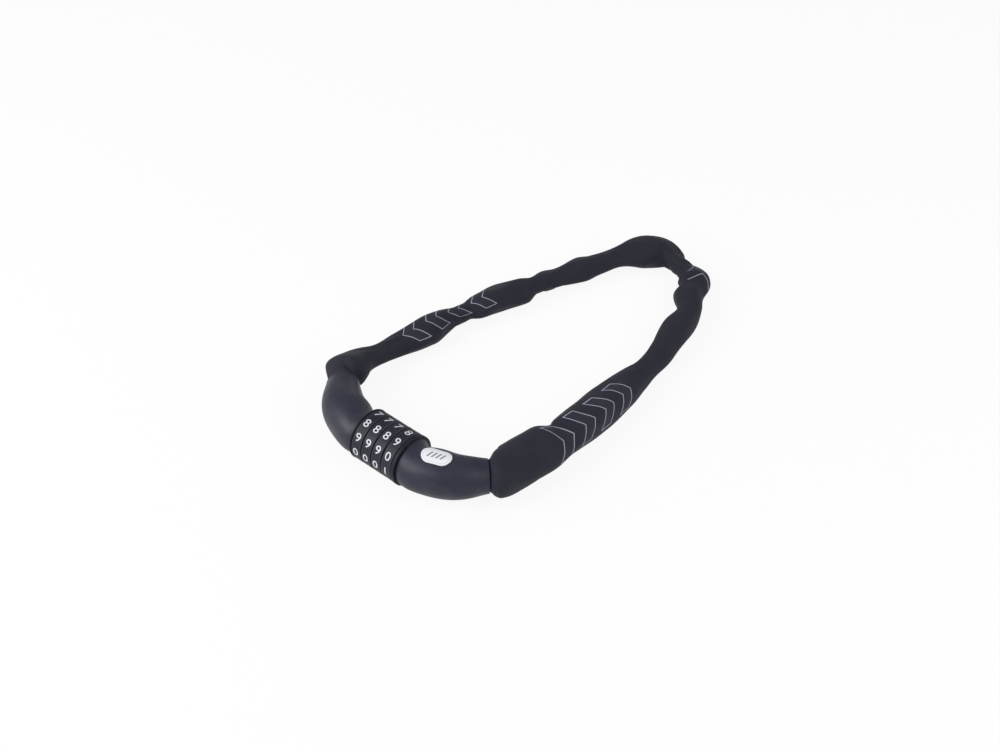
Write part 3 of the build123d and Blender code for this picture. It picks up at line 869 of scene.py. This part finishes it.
def mouth_rings(tree, along):
    """The height of the rings in the two mouths, by the place along the sleeve."""
    held_to, held_from = GATHERED + FADED_OVER, sleeve_length - GATHERED - FADED_OVER
    near_start = spread_over(tree, along, GATHERED, held_to, 1.0, 0.0)
    near_end = spread_over(tree, along, held_from, held_from + FADED_OVER)
    in_mouths = calculate(tree, "ADD", near_start, near_end)
    return calculate(tree, "MULTIPLY", ripple(tree, along, RING_PITCH), in_mouths)


def make_cloth():
    """The sleeve's cloth."""
    material, tree, shader, place = start_finish(
        "woven nylon", Specular_IOR_Level=0.3, Sheen_Weight=0.05, Sheen_Roughness=0.4
    )
    cloth_map = add_node(tree, "ShaderNodeUVMap", uv_map="cloth")
    split = add_node(tree, "ShaderNodeSeparateXYZ", {"Vector": cloth_map.outputs["UV"]}).outputs
    weave = use_group(
        tree, weave_group, {"Along": split["X"], "Across": split["Y"], "Pitch": THREAD_PITCH}
    )
    grain = use_group(tree, grain_group, {"Place": place, "Size": 0.0012, "Coarse": 1.0})
    dark, pale = (0.0125, 0.013, 0.0245, 1), (0.0195, 0.0205, 0.0355, 1)
    toned = mix_colours(tree, grain.outputs["Tone"], dark, pale)
    # Painted shade: the colour is darkened in the gaps between the threads, and half of that is kept.
    thread_gap_shade = mix_colours(tree, weave.outputs["Gap"], toned, (0.005, 0.005, 0.009, 1))
    softened = mix_colours(tree, 0.5, toned, thread_gap_shade)

    marked = print_on(tree, split, softened)
    dust = use_group(tree, dust_group, {"Place": place, "Colour": marked, "Amount": 0.03})
    tree.links.new(dust.outputs["Colour"], shader.inputs["Base Color"])
    vary_roughness(tree, shader, grain.outputs["Tone"], 0.70, 0.82)

    rings = calculate(tree, "MULTIPLY", mouth_rings(tree, split["X"]), 2.0)
    height = calculate(tree, "ADD", weave.outputs["Height"], rings)
    bump_shader(tree, shader, height, 0.5, 0.00014)
    return material


cloth = make_cloth()

# %% [markdown]
# Each CAD part gets its finish by its name. What no row of the list names is a plated pin, clip,
# bolt, barrel or ferrule.

# %% Put the finishes on
finish_by_name = [
    ("dial_", dial_plastic),
    ("code_ring", brass),
    ("collar", collar_plastic),
    ("arm_cover", rubber),
    ("arm_core", cast_metal),
    ("badge", badge_silver),
    ("detent_spring", spring_steel),
    ("chain_links", chain_steel),
    ("sleeve", cloth),
]
for name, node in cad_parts.items():
    finish = next((finish for words, finish in finish_by_name if words in name), plated)
    for slot in node.material_slots:
        slot.material = finish
    print(name, "is", finish.name)
sleeve.data.materials.append(cloth)
chain.data.materials.append(chain_steel)

# %% [markdown]
# Each dial carries the digits 0 to 9, printed in white. The print is dulled by use, so its white is
# a light grey with some dust on it.

# %% White paint
def make_paint():
    """The digits' print, a little dulled by use."""
    material, tree, shader, place = start_finish("white print", Specular_IOR_Level=0.4)
    white = (0.66, 0.66, 0.70, 1)
    dust = use_group(tree, dust_group, {"Place": place, "Colour": white, "Amount": 0.15})
    tree.links.new(dust.outputs["Colour"], shader.inputs["Base Color"])
    vary_roughness(tree, shader, dust.outputs["Marks"], 0.45, 0.6)
    return material


paint = make_paint()

# %% [markdown]
# A digit starts as text, which Blender makes into flat faces. The nought gives the scale, so all
# ten digits have one size. The faces are cut across in narrow strips, so that they can bend, and
# they are given a film's thickness.

# %% Cut a digit out as a flat film
DIGIT_WIDE, DIGIT_HIGH = 3.4 * MM, 4.8 * MM
FILM = 0.08 * MM
STRIPS = 14


def flat_digit(mark):
    """A digit's flat faces, at the size that the font gives them."""
    text = bpy.data.curves.new("digit", "FONT")
    text.body = mark
    text.size = 1.0
    text.offset = 0.002
    text.resolution_u = 6
    text.fill_mode = "FRONT"
    holder = bpy.data.objects.new("digit", text)
    flat = bpy.data.meshes.new_from_object(holder)
    bpy.data.objects.remove(holder)
    bpy.data.curves.remove(text)
    form = bmesh.new()
    form.from_mesh(flat)
    bpy.data.meshes.remove(flat)
    bmesh.ops.remove_doubles(form, verts=form.verts, dist=0.0005)
    return form


def extent(form, axis):
    """The least and the greatest place of a bmesh along one axis."""
    values = [vert.co[axis] for vert in form.verts]
    return min(values), max(values)


zero = flat_digit("0")
(zero_left, zero_right), (zero_low, zero_high) = extent(zero, 0), extent(zero, 1)
zero.free()
wide_scale = DIGIT_WIDE / (zero_right - zero_left)
high_scale = DIGIT_HIGH / (zero_high - zero_low)
print("digit scale", round(wide_scale, 5), round(high_scale, 5))


def digit_form(mark):
    """One digit at its real size, centred, ready to be wrapped."""
    form = flat_digit(mark)
    left, right = extent(form, 0)
    low, high = extent(form, 1)
    middle = Vector(((left + right) / 2, (low + high) / 2, 0))
    bmesh.ops.translate(form, verts=form.verts, vec=-middle)
    bmesh.ops.scale(form, verts=form.verts, vec=(wide_scale, high_scale, 1))
    for number in range(1, STRIPS):
        cut = DIGIT_HIGH * (number / STRIPS - 0.5)
        bmesh.ops.bisect_plane(
            form, geom=form.verts[:] + form.edges[:] + form.faces[:], dist=1e-7,
            plane_co=(0, cut, 0), plane_no=(0, 1, 0),
        )
    grown = bmesh.ops.extrude_face_region(form, geom=form.faces[:])
    top = [part for part in grown["geom"] if isinstance(part, bmesh.types.BMVert)]
    bmesh.ops.translate(form, verts=top, vec=(0, 0, FILM))
    bmesh.ops.recalc_face_normals(form, faces=form.faces)
    return form


# %% [markdown]
# Each point of a digit is carried round the axis by its height, so the print wraps round its dial.
# The ten digits of a dial stand a tenth of a turn apart, as one piece that rides on it. The first
# three dials stand at 0 towards the front, and the fourth stands one step on.

# %% Wrap the digits round the dials
DIGIT_TURN = radians(36)


def dial_print(number):
    """All ten digits of one dial as one piece."""
    whole = bmesh.new()
    step_on = 1 if number == 4 else 0
    for mark in range(10):
        form = digit_form(str(mark))
        turn = DIGIT_TURN * (step_on - mark)
        for vert in form.verts:
            angle = turn + vert.co.y / dial_radius
            out = dial_radius - FILM / 2 + vert.co.z
            vert.co = (
                dial_middles[number - 1] + vert.co.x,
                axis_y - out * cos(angle),
                axis_z + out * sin(angle),
            )
        part = bpy.data.meshes.new("digit")
        form.to_mesh(part)
        form.free()
        whole.from_mesh(part)
        bpy.data.meshes.remove(part)
    digits = piece_from(f"dial_{number}_digits", whole, paint, smooth=False)
    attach(digits, f"dial_{number}")


for number in (1, 2, 3, 4):
    dial_print(number)

# %% [markdown]
# The lock lies on a plain white floor. What the camera sees of the floor and of the space behind
# it is plain white, with only a breath of shadow under the lock, while the light on the object
# stays at an ordinary level. Metal and gloss reflect the white floor.

# %% Floor and surroundings
FLOOR_HALF = 3.0
FLOOR_GLOW = 0.90


def rays_of(tree, *kinds):
    """1 for the rays of the kinds that are named, and 0 for others."""
    rays = add_node(tree, "ShaderNodeLightPath").outputs
    seen = rays[f"Is {kinds[0]} Ray"]
    for kind in kinds[1:]:
        seen = calculate(tree, "MAXIMUM", seen, rays[f"Is {kind} Ray"])
    return seen


white = bpy.data.materials.new("white floor")
white.use_nodes = True
floor_tree = white.node_tree
floor_tree.nodes.clear()
seen = rays_of(floor_tree, "Camera", "Glossy", "Transmission")
plain = add_node(floor_tree, "ShaderNodeBsdfDiffuse", {"Color": (0.85, 0.85, 0.85, 1)})
glow = add_node(floor_tree, "ShaderNodeEmission", {"Color": (1, 1, 1, 1), "Strength": 1.0})
mixed = add_node(
    floor_tree, "ShaderNodeMixShader",
    {0: calculate(floor_tree, "MULTIPLY", seen, FLOOR_GLOW), 1: plain.outputs[0], 2: glow.outputs[0]},
)
add_node(floor_tree, "ShaderNodeOutputMaterial", {"Surface": mixed.outputs[0]})
floor_form = bmesh.new()
bmesh.ops.create_grid(floor_form, x_segments=1, y_segments=1, size=FLOOR_HALF)
floor = piece_from("floor", floor_form, white, smooth=False)

world = bpy.data.worlds.new("studio")
scene.world = world
world.use_nodes = True
world_tree = world.node_tree
world_tree.nodes.clear()
seen = rays_of(world_tree, "Camera", "Transmission")
plain = add_node(world_tree, "ShaderNodeBackground", {"Color": (0.93, 0.96, 1.0, 1), "Strength": 0.5})
glow = add_node(world_tree, "ShaderNodeBackground", {"Color": (1, 1, 1, 1), "Strength": 1.0})
mixed = add_node(world_tree, "ShaderNodeMixShader", {0: seen, 1: plain.outputs[0], 2: glow.outputs[0]})
add_node(world_tree, "ShaderNodeOutputWorld", {"Surface": mixed.outputs[0]})

# %% [markdown]
# The light is a big soft box in front of the lock and to its left, and a weaker one at the right.
# The covers then show the broad pale patches that tell their round form. The view is Standard, so
# that a colour looks about as it is written.

# %% Lamps
def soft_box(name, place, target, size, power):
    """A rectangular lamp that is turned towards a point."""
    lamp = bpy.data.lights.new(name, "AREA")
    lamp.shape = "RECTANGLE"
    lamp.size, lamp.size_y = size
    lamp.energy = power
    holder = bpy.data.objects.new(name, lamp)
    scene.collection.objects.link(holder)
    holder.location = place
    holder.rotation_euler = (Vector(target) - Vector(place)).to_track_quat("-Z", "Y").to_euler()


soft_box("key", (-0.45, -0.80, 0.55), (0, -0.05, 0), (0.85, 0.55), 8.5)
soft_box("fill", (0.75, 0.15, 0.55), (0, 0, 0), (0.5, 0.5), 3.0)

scene.view_settings.view_transform = "Standard"
